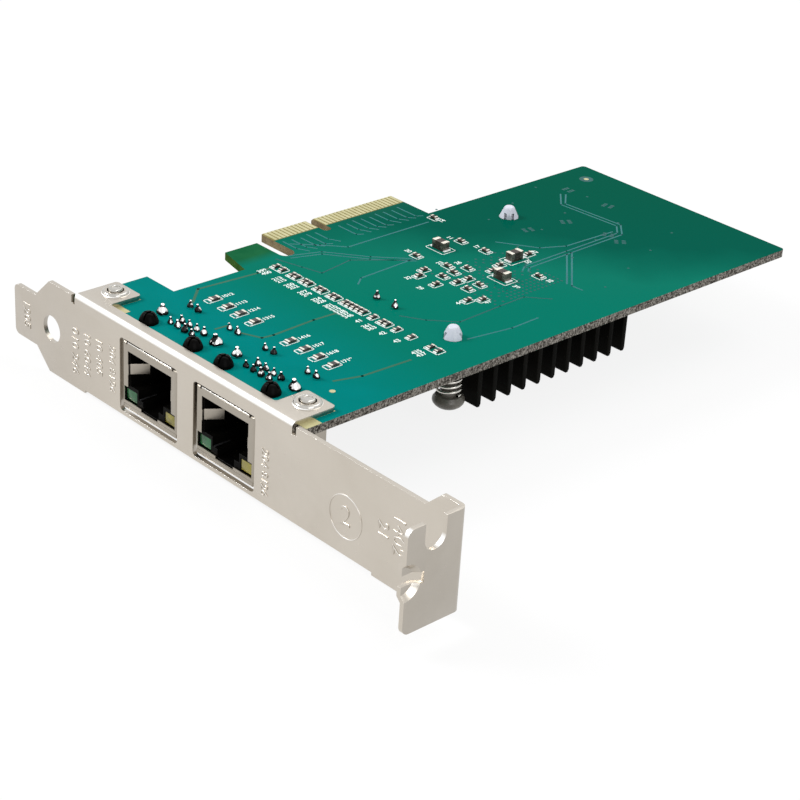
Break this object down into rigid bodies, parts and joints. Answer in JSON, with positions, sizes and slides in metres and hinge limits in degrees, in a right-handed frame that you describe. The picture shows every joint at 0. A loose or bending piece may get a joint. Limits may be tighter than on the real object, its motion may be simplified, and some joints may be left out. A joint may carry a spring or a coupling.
{
  "type": "ethernet adapter card",
  "caption": "Low-profile network adapter card with two plug ports in a folded bracket, an edge connector and a finned heatsink held by sprung pins.",
  "frame": {"origin": "middle of the board at the tip of the edge connector, centred on its key notch", "axes": "+X from the edge connector and the bracket tongue towards the end tab, +Y from the bracket towards the far end of the board, +Z from the component side to the solder side"},
  "size_m": [0.12, 0.1375, 0.0216],
  "materials": {
    "bracket_nickel": "satin nickel plating",
    "solder_mask": "glossy solder mask over laminate",
    "gold_plating": "soft gold plating",
    "shield_steel": "bright tin plating",
    "black_moulding": "moulded",
    "green_lens": "clear tinted resin",
    "yellow_lens": "clear tinted resin",
    "tinned_metal": "tinned",
    "screw_plating": "bright plating",
    "black_anodised": "black anodised",
    "thermal_rubber": "soft",
    "white_nylon": "translucent nylon",
    "spring_steel": "drawn wire",
    "package_resin": "moulded",
    "can_metal": "satin can",
    "resistor_body": "glazed",
    "ceramic_body": "fired ceramic",
    "solder": "reflowed solder"
  },
  "bodies": {
    "root": {"bracket": "bracket_nickel", "bulk_capacitors": "can_metal", "chip_capacitors": "ceramic_body", "chip_resistors": "resistor_body", "circuit_board": "solder_mask", "controller_chip": "package_resin", "crystal": "can_metal", "edge_contacts": "gold_plating", "flange_screws": "screw_plating", "flash_memory": "package_resin", "green_lamp_left": "green_lens", "green_lamp_right": "green_lens", "ground_pads": "gold_plating", "heatsink": "black_anodised", "lamp_leads_left": "tinned_metal", "lamp_leads_right": "tinned_metal", "large_chip_capacitors": "ceramic_body", "magnetics_leads": "tinned_metal", "magnetics_left": "package_resin", "magnetics_right": "package_resin", "package_leads": "tinned_metal", "pin_solder_joints": "solder", "pin_spring_far": "spring_steel", "pin_spring_near": "spring_steel", "port_contacts_left": "gold_plating", "port_contacts_right": "gold_plating", "port_housing_left": "black_moulding", "port_housing_right": "black_moulding", "port_shield_left": "shield_steel", "port_shield_right": "shield_steel", "power_inductor": "package_resin", "push_pin_far": "white_nylon", "push_pin_near": "white_nylon", "shield_solder_joints": "solder", "thermal_pad": "thermal_rubber", "voltage_regulator": "package_resin", "yellow_lamp_left": "yellow_lens", "yellow_lamp_right": "yellow_lens"}
  },
  "joints": []
}
